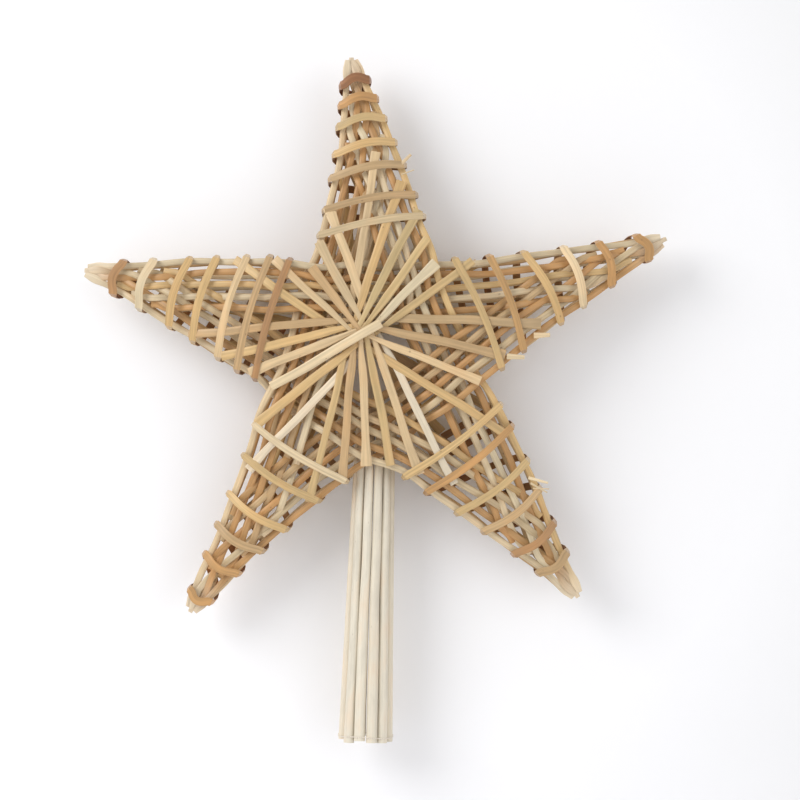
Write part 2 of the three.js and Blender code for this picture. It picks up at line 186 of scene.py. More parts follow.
# A fan's straws pass the hub's middle on one side and then on the other, miss_spread each way. The middle
# ones come out from under the others first and end at the notch. The outer ones come out seen_spread
# further on and run on up the arms. top_straw, as its fan and its place there, is the one laid last,
# straight over the hub from top_start.
FAN = Sizes(
    miss=0.5, miss_spread=4.5, notch_end=52.0, arm_end=66.0, first_seen=2.0, seen_spread=12.0,
    top_straw=(2, 3), top_start=-7.5,
)

# Broken ends at the arms' edges: place along the arm, edge (1 is its left), turn off the arm's own way
# out, length, width. A sprig, a frayed bunch and two cut ends.
LOOSE_ENDS = {
    "top": [[71, -1, -50, 4.5, 1.6], [68, -1, -75, 3.0, 0.6]],
    "lower_right": [[70, 1, 35, 5.5, 1.3], [72, 1, 20, 5.0, 0.8], [74, 1, 48, 4.0, 0.6]],
    "right": [[45, -1, -25, 4.5, 2.4], [57, -1, -20, 4.0, 2.4]],
}
LOOSE = Sizes(thick=0.5, sides=8, squared=0.8, inset=2.0, curl=0.15, taper=0.35, steps=12)

# The back is plainer: evenly fanned straws, each a little off its even place by sines of its number.
BACK_FAN = Sizes(
    straws=20, first=9.0, wander=3.0, wander_pace=2.1, miss=3.0, miss_pace=1.7, end=54.0,
    end_wander=7.0, end_pace=2.9, lay_step=7, lay_run=0.8, lay_start=-1.0,
)
BACK_TONES = ["pale", "golden", "tan", "white"]

# Markings of straw, in mm across its fibres and along them.
GRAIN = Sizes(fibre_length=28.0, blotch=(7.0, 22.0), speck=(2.2, 5.5))
# Each skin's fibres start at their own place in the pattern, anywhere along this length.
PATTERN_LENGTH = 900
# No skin is thinner than this, from its middle out, even where a wall's thickness is taken off it.
THINNEST = 0.05
# Creases sharper than this, in degrees, stay sharp in the shading.
CREASE = 48
# Points nearer than this, in metres, are one point.
MERGE = 1e-7

rng = np.random.default_rng(512)


# ---- Small helpers -----------------------------------------------------------------------------------


def linear(code):
    """Linear colour of an sRGB hex code."""
    parts = np.array([int(code[i : i + 2], 16) for i in (1, 3, 5)]) / 255
    return np.where(parts > 0.04045, ((parts + 0.055) / 1.055) ** 2.4, parts / 12.92)


def tone(name, spread=0.05):
    """A straw's own colour: its tone, a little lighter or darker and warmer or cooler."""
    light = 1 + rng.normal(0, spread)
    warm = rng.normal(0, spread / 2)
    return np.clip(linear(TONES[name]) * light * np.array([1 + warm, 1, 1 - warm]), 0, 1)


def unit(degrees):
    """Unit vectors at bearings in degrees: cosine and sine."""
    angle = np.radians(degrees)
    return np.stack([np.cos(angle), np.sin(angle)], axis=-1)


def left_of(run):
    """A vector of the star's plane turned a quarter to its left: (-z, x) for (x, z)."""
    return np.stack([-run[..., 1], run[..., 0]], axis=-1)


def normalised(vectors):
    """Vectors divided by their own lengths."""
    return vectors / np.maximum(np.linalg.norm(vectors, axis=-1, keepdims=True), 1e-9)


def ease(value, low, high):
    """0 below low, 1 above high, and a smooth step between them."""
    share = np.clip((value - low) / (high - low), 0, 1)
    return share * share * (3 - 2 * share)


def lerp(low, high, share):
    """The value a share of the way from low to high."""
    return low + (high - low) * share


def wander(lengths, size, wave):
    """A slow drift over the given lengths: a sine of random phase and one of 0.43 times its wavelength and
    0.4 times its size."""
    phases = rng.uniform(0, 2 * np.pi, 2)
    first = np.sin(2 * np.pi * lengths / wave + phases[0])
    second = np.sin(2 * np.pi * lengths / (0.43 * wave) + phases[1])
    return size * (first + 0.4 * second)


def lengths_along(path):
    """Length along a path at each of its points: the sum of the steps before it."""
    steps = np.linalg.norm(np.diff(path, axis=0), axis=1)
    return np.concatenate([[0], np.cumsum(steps)])


def rounded(path, passes):
    """Rounds a path's corners: each point moves to a quarter, half, quarter mean with its neighbours."""
    path = path.copy()
    for _ in range(passes):
        path[1:-1] = 0.25 * path[:-2] + 0.5 * path[1:-1] + 0.25 * path[2:]
    return path


# ---- The star's form -----------------------------------------------------------------------------------

ARM_BEARING = STAR.lean + STAR.first_arm + STAR.arm_step * np.arange(5)
ARM_AXIS = unit(ARM_BEARING + ARM_TURN)


def half_width(arm, along):
    """Half an arm's width: a straight taper towards the tip, blunted there, times the arm's own girth."""
    even = STAR.edge_slope * (STAR.reach - along) + STAR.edge_spare
    own = lerp(1, ARM_GIRTH[arm], ease(along, STAR.girth_from, STAR.girth_full))
    return np.hypot(even * own, STAR.tip_half_width)


def outwards_share(along):
    """How far out an arm a place is: 0 up to its shoulder, 1 at the regular star's tip."""
    return np.clip((along - STAR.shoulder) / (STAR.reach - STAR.shoulder), 0, 1)


def bow_at(arm, share):
    """How far an arm's middle line is bent sideways: half a sine wave from the middle to the tip."""
    return ARM_BOW[arm] * np.sin(np.pi * np.clip(share, 0, 1))


def on_arm(arm, along, across):
    """Places at a distance along an arm and across it, with the arm's bow and reach."""
    axis = ARM_AXIS[arm]
    shift = across - bow_at(arm, along / STAR.reach)
    scaled = along * ARM_REACH[arm] / STAR.reach
    return scaled[..., None] * axis + shift[..., None] * left_of(axis)


def nearest_arm(place):
    """The arm that a place is in, and where: the one along whose axis it lies furthest out."""
    along = place @ ARM_AXIS.T * STAR.reach / ARM_REACH
    across = place @ left_of(ARM_AXIS).T + bow_at(np.arange(5), along / STAR.reach)
    arm = along.argmax(axis=-1)
    pick = arm[..., None]
    own_along = np.take_along_axis(along, pick, -1)[..., 0]
    own_across = np.take_along_axis(across, pick, -1)[..., 0]
    return arm, own_along, own_across


def as_made(place):
    """Moves places of a regular star to this one: each arm turned, stretched and bowed in its own sector."""
    bearing = np.degrees(np.arctan2(place[..., 1], place[..., 0]))
    share = np.linalg.norm(place, axis=-1) / STAR.reach
    made = np.zeros_like(place)
    for arm in range(5):
        off = (bearing - ARM_BEARING[arm] + 180) % 360 - 180
        weight = 1 - ease(np.abs(off), STAR.arm_sector, STAR.notch_sector)
        stretch = 1 + (ARM_REACH[arm] / STAR.reach - 1) * share
        turned = unit(ARM_TURN[arm])
        moved = place[..., :1] * turned + place[..., 1:] * left_of(turned)
        moved = moved * stretch[..., None] - left_of(ARM_AXIS[arm]) * bow_at(arm, share)[..., None]
        made += moved * weight[..., None]
    return made


def puff(place):
    """Half the hollow under a place, deepest at the middle and pinched at the arms' edges, and how much
    the straws there are flattened."""
    arm, along, across = nearest_arm(place)
    outwards = outwards_share(along)
    share = np.minimum(1, np.abs(across) / half_width(arm, along))
    pinch = STAR.edge_pinch * np.minimum(1, outwards / STAR.pinch_share)
    middle = lerp(STAR.half_hollow, STAR.tip_hollow, outwards)
    return middle * (1 - pinch * share**2), lerp(1, STAR.tip_thin, outwards)


def band_depth(place, level):
    """Depth of a band straw's middle: the hollow, then half a straw on the inner layer (level 0), or one
    straw and the layers' gap more on the outer one (level 1)."""
    hollow, thin = puff(place)
    return hollow + thin * BAND.thick * (0.5 + level) + BAND.layer_gap * level


def spoke_depth(place):
    """Depth of a spoke's middle: the hollow, both layers of bands, their gaps, and half a spoke."""
    hollow, thin = puff(place)
    return hollow + thin * BAND.thick * 2 + BAND.layer_gap + SPOKE.gap + SPOKE.thick / 2


def in_space(place, depth):
    """Places of the star's plane in space, with the star's middle where it stands on its stem."""
    return np.stack([STAR.x + place[..., 0], depth, STAR.z + place[..., 1]], axis=-1)


# ---- Skins: a straw's section carried along a path -------------------------------------------------------


def section(sides, flat=1.0):
    """Corners of a unit oval. flat under 1 squares it off, like a straw pressed between two others."""
    turn = 2 * np.pi * (np.arange(sides) + 0.5) / sides
    cos, sin = np.cos(turn), np.sin(turn)
    return np.sign(cos) * np.abs(cos) ** flat, np.sign(sin) * np.abs(sin) ** flat


def skin(
    path, side, up, width, thick, colour, sides, flat=1.0, wall=0.0, open_end=0.0, inside=None, under=None
):
    """A closed skin round a path: rings of the oval section at every point, width along side and thick along
    up. Its ends are shut flat, or turned in by a wall's thickness to an open end of that depth. inside is the
    tint of such an end, a painted shade for its hollow, and under multiplies the tint of the face turned away
    from up, painting shade on that face."""
    across, over = section(sides, flat)
    half_w = np.broadcast_to(np.asarray(width, float) / 2, len(path))
    half_t = np.broadcast_to(np.asarray(thick, float) / 2, len(path))
    colours = np.broadcast_to(np.asarray(colour, float), (len(path), 3))
    length = lengths_along(path)
    head = np.array([0])
    if open_end:
        depth_in = max(2, int(np.searchsorted(length, open_end)))
        head = np.array([depth_in, depth_in, 0])
    order = np.concatenate([head, np.arange(len(path)), len(path) - 1 - head[::-1]])
    shrink = np.ones(len(order))
    shrink[[0, -1]] = 0
    inner = np.zeros(len(order), bool)
    if open_end:
        inner[: len(head)] = True
        inner[-len(head) :] = True
    wide = np.maximum(half_w[order] - wall * inner, THINNEST) * shrink
    deep = np.maximum(half_t[order] - wall * inner, THINNEST) * shrink
    points = (
        path[order][:, None]
        + side[order][:, None] * (wide[:, None] * across)[..., None]
        + up[order][:, None] * (deep[:, None] * over)[..., None]
    )
    tint = np.repeat(colours[order][:, None], sides, axis=1)
    # Painted shade: the turned-in rings of an open end take the dark inside tint.
    if inside is not None:
        tint[inner] = inside
    # Painted shade: the face turned away from up is darkened by under.
    if under is not None:
        tint[:, over < 0] = tint[:, over < 0] * under
    around = np.pi * np.sqrt((half_w**2 + half_t**2) / 2).mean() * 2
    fibres = length[order] + rng.uniform(0, PATTERN_LENGTH)
    return Sizes(points=points, tint=tint, length=fibres, around=around)


def frames_in_plane(path):
    """Side vectors square to a path within the star's plane, and the matching depth vectors."""
    run = np.gradient(path[:, [0, 2]], axis=0)
    side = left_of(normalised(run))
    across = np.stack([side[:, 0], np.zeros(len(path)), side[:, 1]], axis=-1)
    return across, np.tile([0.0, 1.0, 0.0], (len(path), 1))


def faces_of(rings, sides, turned):
    """Quads between neighbouring rings, as indices, with their corners' steps along and around."""
    ring, side = np.meshgrid(np.arange(rings - 1), np.arange(sides), indexing="ij")
    ring, side = ring.ravel(), side.ravel()
    steps = [(0, 0), (0, 1), (1, 1), (1, 0)]
    if turned:
        steps = steps[::-1]
    corners = np.stack([(ring + i) * sides + (side + j) % sides for i, j in steps], axis=-1)
    along = np.stack([ring + i for i, _ in steps], axis=-1)
    around = np.stack([side + j for _, j in steps], axis=-1)
    return corners, along, around


def is_inside_out(points):
    """True if the rings' quads face inwards, from the sign of the volume they enclose."""
    here, there = points[:-1], points[1:]
    here_next, there_next = np.roll(here, -1, axis=1), np.roll(there, -1, axis=1)
    centre = points.reshape(-1, 3).mean(axis=0)
    a, b, c, d = (corner - centre for corner in (here, here_next, there_next, there))
    volume = (a * np.cross(b, c)).sum() + (a * np.cross(c, d)).sum()
    return volume < 0


def make_piece(name, skins, material, node):
    """Joins skins into one mesh in metres, with a UV map in millimetres of straw and a tint per vertex. It
    stands for the solid called node."""
    points, quads, uvs, tints = [], [], [], []
    base = 0
    for one in skins:
        rings, sides = one.points.shape[:2]
        corners, along, around = faces_of(rings, sides, is_inside_out(one.points))
        points.append(one.points.reshape(-1, 3))
        quads.append(corners + base)
        u = around / sides * one.around
        uvs.append(np.stack([u, one.length[along]], axis=-1).reshape(-1, 2))
        tints.append(one.tint.reshape(-1, 3))
        base += rings * sides
    points, quads = np.concatenate(points) * MM, np.concatenate(quads)
    mesh = bpy.data.meshes.new(name)
    mesh.from_pydata(points, [], quads)
    mesh.uv_layers.new(name="fibres").data.foreach_set("uv", np.concatenate(uvs).ravel())
    tint = np.concatenate(tints)
    rgba = np.concatenate([tint, np.ones((len(tint), 1))], axis=1)
    mesh.attributes.new("tint", "FLOAT_COLOR", "POINT").data.foreach_set("color", rgba.ravel())
    work = bmesh.new()
    work.from_mesh(mesh)
    bmesh.ops.remove_doubles(work, verts=work.verts, dist=MERGE)
    work.to_mesh(mesh)
    work.free()
    mesh.polygons.foreach_set("use_smooth", np.ones(len(mesh.polygons), bool))
    mesh.set_sharp_from_angle(angle=math.radians(CREASE))
    mesh.materials.append(material)
    piece = bpy.data.objects.new(name, mesh)
    bpy.context.scene.collection.objects.link(piece)
    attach(piece, "root")
    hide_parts(node)


# ---- Materials ---------------------------------------------------------------------------------------------


def add(tree, kind, inputs=None, **settings):
    """Adds a node, gives it its settings, and fills its inputs with values or with other nodes' outputs."""
    made = tree.nodes.new("ShaderNode" + kind)
    for key, value in settings.items():
        setattr(made, key, value)
    for key, value in (inputs or {}).items():
        if isinstance(value, bpy.types.NodeSocket):
            tree.links.new(value, made.inputs[key])
        else:
            made.inputs[key].default_value = value
    return made


def new_material(name):
    """A material with an empty node tree, and that tree."""
    material = bpy.data.materials.new(name)
    material.use_nodes = True
    tree = material.node_tree
    tree.nodes.clear()
    return material, tree


def straw_material(name, fibre, streak, rough, shine, relief, speck=0.5):
    """Dry straw: long fibres that darken and lighten its own tint, slow blotches, a few dark specks, and a
    waxy skin. fibre: their spacing in mm. streak: how strong they show. relief: their height in mm."""
    material, tree = new_material(name)
    uv = add(tree, "UVMap", uv_map="fibres").outputs["UV"]
    tint = add(tree, "Attribute", attribute_name="tint").outputs["Color"]
    blotch_across, blotch_along = GRAIN.blotch
    speck_across, speck_along = GRAIN.speck
    fine_scale = (1 / fibre, 1 / GRAIN.fibre_length, 1)
    fine = add(tree, "Mapping", {"Vector": uv, "Scale": fine_scale}).outputs["Vector"]
    fine_noise = {"Vector": fine, "Scale": 1.0, "Detail": 3.0, "Roughness": 0.6}
    fibres = add(tree, "TexNoise", fine_noise).outputs[0]
    slow_scale = (1 / blotch_across, 1 / blotch_along, 1)
    slow = add(tree, "Mapping", {"Vector": uv, "Scale": slow_scale}).outputs["Vector"]
    slow_noise = {"Vector": slow, "Scale": 1.0, "Detail": 4.0, "Roughness": 0.62}
    blotch = add(tree, "TexNoise", slow_noise).outputs[0]
    dot_scale = (1 / speck_across, 1 / speck_along, 1)
    dots = add(tree, "Mapping", {"Vector": uv, "Scale": dot_scale}).outputs["Vector"]
    cells = add(tree, "TexVoronoi", {"Vector": dots, "Scale": 1.0, "Randomness": 1.0}).outputs["Distance"]
    dark = add(tree, "MapRange", {0: fibres, 1: 0.3, 2: 0.72, 3: 1 - streak, 4: 1 + 0.45 * streak}).outputs[0]
    aged = add(tree, "MapRange", {0: blotch, 1: 0.3, 2: 0.7, 3: 0.86, 4: 1.1}).outputs[0]
    shade = add(tree, "Math", {0: dark, 1: aged}, operation="MULTIPLY").outputs[0]
    body = add(tree, "VectorMath", {0: tint, "Scale": shade}, operation="SCALE").outputs["Vector"]
    warm = add(tree, "MapRange", {0: blotch, 1: 0.52, 2: 0.74, 3: 0.0, 4: 0.3}).outputs[0]
    honey = (*linear(TONES["honey"]), 1)
    toned = add(tree, "Mix", {0: warm, 6: body, 7: honey}, data_type="RGBA").outputs[2]
    spot = add(tree, "MapRange", {0: cells, 1: 0.05, 2: 0.1, 3: speck, 4: 0.0}).outputs[0]
    earth = (*linear(TONES["earth"]), 1)
    finish = add(tree, "Mix", {0: spot, 6: toned, 7: earth}, data_type="RGBA").outputs[2]
    wax = {0: blotch, 1: 0.3, 2: 0.7, 3: rough + 0.08, 4: rough - 0.06}
    roughness = add(tree, "MapRange", wax).outputs[0]
    height = add(tree, "Math", {0: fibres, 1: relief * MM}, operation="MULTIPLY").outputs[0]
    bump = add(tree, "Bump", {"Height": height, "Distance": 1.0, "Strength": 1.0}).outputs["Normal"]
    shader = add(
        tree,
        "BsdfPrincipled",
        {
            "Base Color": finish, "Roughness": roughness, "Normal": bump, "IOR": 1.5,
            "Specular IOR Level": 0.5, "Coat Weight": shine, "Coat Roughness": 0.3,
        },
    )
    add(tree, "OutputMaterial", {"Surface": shader.outputs[0]})
    return material


# Whole round wheat straw: fine fibres, a satin wax skin that catches a long soft highlight.
ROUND_STRAW = straw_material("round_wheat_straw", 0.42, 0.2, 0.42, 0.08, 0.05)
# Straw pressed flat: coarser fibres, because pressing splits its skin, and a little more shine.
FLAT_STRAW = straw_material("pressed_wheat_straw", 0.5, 0.22, 0.4, 0.1, 0.06)
# Split straw, scraped thin: strong grooves from its fibres and a browner, drier face.
SPLIT_STRAW = straw_material("split_straw_ribbon", 0.45, 0.3, 0.44, 0.06, 0.08)
# Bleached stem straw: clean, pale and faintly ribbed.
STEM_STRAW = straw_material("bleached_stem_straw", 0.5, 0.12, 0.45, 0.08, 0.04, speck=0.2)


def thread_material():
    """Cotton sewing thread: matt, with a twist of two plies that shows as a slanted light and dark."""
    material, tree = new_material("cotton_thread")
    uv = add(tree, "UVMap", uv_map="fibres").outputs["UV"]
    tint = add(tree, "Attribute", attribute_name="tint").outputs["Color"]
    turned = add(tree, "Mapping", {"Vector": uv, "Rotation": (0, 0, 0.7)}).outputs["Vector"]
    twist = add(tree, "TexWave", {"Vector": turned, "Scale": 0.6, "Distortion": 1.5}).outputs["Fac"]
    light = add(tree, "MapRange", {0: twist, 3: 0.8, 4: 1.05}).outputs[0]
    shade = add(tree, "VectorMath", {0: tint, "Scale": light}, operation="SCALE").outputs["Vector"]
    height = add(tree, "Math", {0: twist, 1: 0.06 * MM}, operation="MULTIPLY").outputs[0]
    bump = add(tree, "Bump", {"Height": height, "Distance": 1.0}).outputs["Normal"]
    shader = add(tree, "BsdfPrincipled", {"Base Color": shade, "Roughness": 0.9, "Normal": bump})
    add(tree, "OutputMaterial", {"Surface": shader.outputs[0]})
    return material


COTTON = thread_material()

# ---- Bands -------------------------------------------------------------------------------------------------


def straw_width(along):
    """A band straw's width, which narrows evenly from the star's middle to the tip."""
    return lerp(BAND.straw, BAND.tip_straw, np.clip(along / STAR.reach, 0, 1))


def straw_end(arm, index):
    """Where a band's straw meets the far edge of the arm, or just short of the tip."""
    meets = (BAND.tip_straw + index * BAND.pitch) / 2
    ends = np.arange(STAR.reach - BAND.end_spare, STAR.shoulder, -BAND.end_step)
    return ends[np.argmax(half_width(arm, ends) >= meets)]


def straw_half(start, index, towards, overrun):
    """Half a band's straw in the regular star: straight from the band's middle to the arm's shoulder, and
    then beside the arm's edge, a pitch further in for each straw, to where it is pinched at its end."""
    arm = (start + 2) % 5 if towards > 0 else start
    axis = unit(ARM_BEARING[arm])
    outer = -towards * left_of(axis)
    end = straw_end(arm, index)
    along = np.linspace(STAR.shoulder, end + overrun, BAND.arm_steps)
    near_end = ease(along, end - BAND.pinch_run, end)
    across = half_width(arm, along) - straw_width(along) / 2 - index * BAND.pitch
    if index > 0:
        across = across + (BAND.pitch - BAND.touch) * near_end
    if index < BAND.outer_straws:
        across = across * lerp(1, BAND.tip_draw, near_end)
    arm_part = along[:, None] * axis + across[:, None] * outer
    normal = unit(ARM_BEARING[start] + STAR.arm_step)
    run = left_of(normal) * towards
    ramp = BAND.ramp_near + BAND.ramp_grow * index * BAND.pitch
    root = normal * (arm_part[0] @ normal) + run * ramp
    share = np.linspace(0, 1, BAND.root_steps, endpoint=False)[:, None]
    return np.concatenate([lerp(root, arm_part[0], share), arm_part])


def woven(start, index, regular, level):
    """A straw's level between the inner layer, 0, and the outer one, 1. In an arm it goes over one straw of
    the other direction and under the next: a cosine of its own place in its band plus its place in theirs,
    which has the opposite sign for the other direction, so that the two never meet."""
    made = level.copy()
    for arm, towards in ((start, -1), ((start + 2) % 5, 1)):
        axis = unit(ARM_BEARING[arm])
        along = regular @ axis
        inwards = regular @ (towards * left_of(axis))
        theirs = (half_width(arm, along) - straw_width(along) / 2 - inwards) / BAND.pitch
        last = BAND.straws - 1
        meets = ease(theirs, -BAND.weave_edge, 0) * (1 - ease(theirs, last, last + BAND.weave_edge))
        share = ease(along, STAR.shoulder, STAR.shoulder + BAND.weave_run) * meets
        over = 0.5 + towards * 0.5 * BAND.weave * np.cos(np.pi * (index + theirs))
        made = lerp(made, over, share)
    return made


def band_straw(start, index, face):
    """One whole straw, from one arm's tip to the next but one, dropping to the outer layer half way and
    woven in the arms. At its ends it splays and then shrinks, crushed by the ribbon, and turns pale."""
    overruns = rng.uniform(*BAND.overrun, 2) if index else np.zeros(2)
    first = straw_half(start, index, -1, overruns[0])[::-1]
    last = straw_half(start, index, 1, overruns[1])
    share = np.linspace(0, 1, BAND.middle_steps)[1:-1]
    middle = lerp(first[-1], last[0], share[:, None])
    level = np.concatenate([np.zeros(len(first)), ease(share, 0, 1), np.ones(len(last))])
    regular = np.concatenate([first, middle, last])
    level = woven(start, index, regular, level)
    plan = as_made(regular)
    length = lengths_along(plan)
    fade = ease(length, 0, BAND.fade) * ease(length[-1] - length, 0, BAND.fade)
    side = left_of(normalised(np.gradient(plan, axis=0)))
    plan = plan + side * (wander(length, *BAND_DRIFT.sideways) * fade)[:, None]
    depth = band_depth(plan, level) + wander(length, *BAND_DRIFT.depth) * fade
    path = rounded(in_space(plan, face * depth), passes=3)
    _, along, _ = nearest_arm(plan)
    _, thin = puff(plan)
    crushed = ease(along, STAR.reach - BAND.crush, STAR.reach)
    splay = BAND.splay if index < BAND.outer_straws else BAND.inner_splay
    spread = 1 + splay * np.sin(np.pi * crushed) - BAND.shrink * crushed
    width = straw_width(along) * (1 + wander(length, *BAND_DRIFT.width)) * spread
    thick = BAND.thick * thin * (BAND.pressed * (1 - BAND.shrink * crushed)) * BAND.slack
    side, up = frames_in_plane(path)
    own = tone(BAND_TONES[rng.integers(len(BAND_TONES))], BAND.tone_spread)
    pale = BAND.pale_tip * ease(outwards_share(along), BAND.pale_from, 1)[:, None]
    colour = lerp(own, linear(TONES["white"]), pale)
    # The open ends' insides are tinted dark brown as painted shade.
    return skin(
        path, side, up, width, thick, colour, BAND.sides, BAND.squared, BAND.wall, BAND.open_end,
        linear(TONES["band_bore_shade"]),
    )


def make_bands():
    """Five bands on the front and five on the back, each from one arm to the next but one."""
    for face, word in ((FRONT, "front"), (BACK, "back")):
        for start, name in enumerate(ARM_NAMES):
            far = ARM_NAMES[(start + 2) % 5]
            node = f"{word}_band_{name}_to_{far}"
            straws = [band_straw(start, index, face) for index in range(BAND.straws)]
            make_piece(f"{word}_straws_{name}_to_{far}", straws, ROUND_STRAW, node)


# ---- Spokes ------------------------------------------------------------------------------------------------


def spoke_straw(bearing, miss, visible, wanted, name, face):
    """A straw pressed flat, laid from the hub out over the bands. The sooner it comes out from under the
    others, the higher it lies on them; the lift dies away from the hub as a bell curve. One that misses the
    hub's middle by far dips under its neighbours first."""
    run = unit(bearing)
    start = min(visible, SPOKE.under_hub)
    out = np.linspace(start, wanted, SPOKE.steps)
    plan = HUB + out[:, None] * run + miss * left_of(run)
    arm, along, across = nearest_arm(plan)
    inside = np.abs(across) < half_width(arm, along) - SPOKE.edge
    last = len(out) if inside.all() else max(SPOKE.least_steps, int(np.argmin(inside)))
    out, plan = out[:last], plan[:last]
    drift = wander(out, *SPOKE_DRIFT.sideways)[:, None] * ease(out, SPOKE.drift_from, SPOKE.drift_to)[:, None]
    plan = plan + left_of(run) * drift
    height = SPOKE.layer * np.exp(-max(visible, SPOKE.highest) / SPOKE.layer_fall)
    lift = height * np.exp(-((out / SPOKE.hub_run) ** 2))
    dip = SPOKE.dip * (1 - ease(out, SPOKE.dip_from, SPOKE.dip_to)) if miss > SPOKE.dip_miss else 0
    depth = spoke_depth(plan) + lift - dip
    path = rounded(in_space(plan, face * depth), passes=2)
    side, up = frames_in_plane(path)
    taper = lerp(SPOKE.root_width, 1, ease(out, SPOKE.root_from, SPOKE.root_to)) if visible > 0 else 1
    flare = 1 + SPOKE.flare * rng.uniform(0, 1) * ease(out, out[-1] - SPOKE.flare_run, out[-1])
    own = SPOKE.width * rng.uniform(*SPOKE.widths)
    width = own * taper * flare * (1 + wander(out, *SPOKE_DRIFT.width))
    return skin(path, side, up, width, SPOKE.thick * SPOKE.slack, tone(name), SPOKE.sides, SPOKE.squared)


def fan_rows(notch, fan):
    """One fan's straws: bearing, miss, where each is let out by the straws above it, its end and its tone.
    The first two change evenly across the fan, the next two with the square of the way off its middle."""
    middle = ARM_BEARING[notch] + STAR.arm_step / 2 + fan.turn
    for i, name in enumerate(fan.tones):
        off = 2 * i / (len(fan.tones) - 1) - 1
        seen = FAN.first_seen + FAN.seen_spread * off**2
        if (notch, i) == FAN.top_straw:
            seen = FAN.top_start
        end = lerp(FAN.notch_end, FAN.arm_end, off**2)
        yield middle + off * fan.spread / 2, FAN.miss + FAN.miss_spread * off, seen, end, name


def back_rows():
    """The back's straws, as in fan_rows: even bearings, with sines of the straw's number for the rest."""
    for i in range(BACK_FAN.straws):
        bearing = BACK_FAN.first + 360 / BACK_FAN.straws * i
        bearing += BACK_FAN.wander * math.sin(BACK_FAN.wander_pace * i)
        miss = BACK_FAN.miss * math.sin(BACK_FAN.miss_pace * i)
        seen = (i * BACK_FAN.lay_step % BACK_FAN.straws) * BACK_FAN.lay_run + BACK_FAN.lay_start
        end = BACK_FAN.end + BACK_FAN.end_wander * math.sin(BACK_FAN.end_pace * i)
        yield bearing, miss, seen, end, BACK_TONES[i % len(BACK_TONES)]


def make_spokes():
    """The spokes of each face, as one piece a face."""
    front_rows = [row for notch, fan in enumerate(FRONT_FANS) for row in fan_rows(notch, fan)]
    front = [spoke_straw(*row, FRONT) for row in front_rows]
    make_piece("front_spoke_straws", front, FLAT_STRAW, "front_spokes")
    back = [spoke_straw(*row, BACK) for row in back_rows()]
    make_piece("back_spoke_straws", back, FLAT_STRAW, "back_spokes")


# ---- Ribbons -----------------------------------------------------------------------------------------------


def wrap_edge(row, edge, half):
    """Where a front run meets an edge of its arm: its place along, plus its slope times half the width."""
    place, slope, _ = row
    return place + edge * slope * half


def ribbon_run(along, across, face, colour):
    """One stretch of a ribbon's route, with its face and its colour given to every point of it."""
    return along, across, np.full(len(along), float(face)), np.broadcast_to(colour, (len(along), 3))


def ribbon_route(arm):
    """Where a ribbon runs on its arm: along, across in half widths, face, and colour. Across goes from edge
    to edge as the mean of a cosine and a straight line. Each front run arches towards the tip; each back
    run gains the way to the next one evenly, taking the arm to be as wide there as at the run before it.
    Both ends are tucked in at the back."""
    rows = WRAPS[ARM_NAMES[arm]]
    spread = np.cos(np.linspace(0, np.pi, RIBBON.steps)) * 0.5 + np.linspace(0.5, -0.5, RIBBON.steps)
    tuck = np.linspace(0, 1, RIBBON.tuck_steps)
    start = wrap_edge(rows[0], 1, half_width(arm, rows[0][0])) - RIBBON.tuck * (1 - tuck)
    out_again = lerp(-RIBBON.tuck_in, RIBBON.tuck_edge, tuck)
    runs = [ribbon_run(start, out_again, BACK, tone(rows[0][2], RIBBON.tone_spread))]
    for row, following in zip(rows, rows[1:] + [None]):
        place, slope, name = row
        arch = lerp(ARCH.near, ARCH.tip, outwards_share(place))
        half = half_width(arm, place)
        lean = slope * spread * half
        shade = tone(name, RIBBON.tone_spread)
        runs.append(ribbon_run(place + lean + arch * (1 - spread**2), spread, FRONT, shade))
        if following:
            share = np.linspace(RIBBON.back_from, RIBBON.back_to, RIBBON.steps)
            along = lerp(wrap_edge(row, -1, half), wrap_edge(following, 1, half), share)
            next_shade = tone(following[2], RIBBON.tone_spread)
            turned = ease(share, RIBBON.turn_from, RIBBON.turn_to)[:, None]
            runs.append(ribbon_run(along, -spread, BACK, lerp(shade, next_shade, turned)))
    end = wrap_edge(rows[-1], -1, half) - RIBBON.tuck * tuck
    back_in = lerp(-RIBBON.tuck_edge, RIBBON.tuck_in, tuck)
    runs.append(ribbon_run(end, back_in, BACK, shade))
    return [np.concatenate(part) for part in zip(*runs)]


def ribbon_skin(arm):
    """A split straw wound round an arm: its flat face turns about the arm's own axis, and at each edge it
    narrows and folds over, a little way outside the straws."""
    along, across, face, colours = ribbon_route(arm)
    folded = ease(np.abs(across), RIBBON.fold_start, 1)
    out = across * half_width(arm, along) + np.sign(across) * folded * RIBBON.fold_out
    place = on_arm(arm, along, out)
    depth = spoke_depth(place) + SPOKE.thick / 2 + RIBBON.gap / 2
    path = rounded(in_space(place, face * depth), passes=1)
    run = normalised(np.gradient(path, axis=0))
    axis = np.array([ARM_AXIS[arm][0], 0, ARM_AXIS[arm][1]])
    side = normalised(axis - run * (run @ axis)[:, None])
    up = np.cross(run, side)
    drift = wander(lengths_along(path), *RIBBON_DRIFT.width)
    width = lerp(RIBBON.width, RIBBON.tip_width, outwards_share(along)) * (1 + drift)
    width = width * lerp(1, RIBBON.fold_width, ease(np.abs(across), RIBBON.fold_from, 1))
    # The ribbon's inner face is darkened and browned here as painted shade.
    return skin(
        path, side, up, width, RIBBON.thick, colours, RIBBON.sides, RIBBON.squared, under=PAINTED_SHADE_INNER_FACE
    )


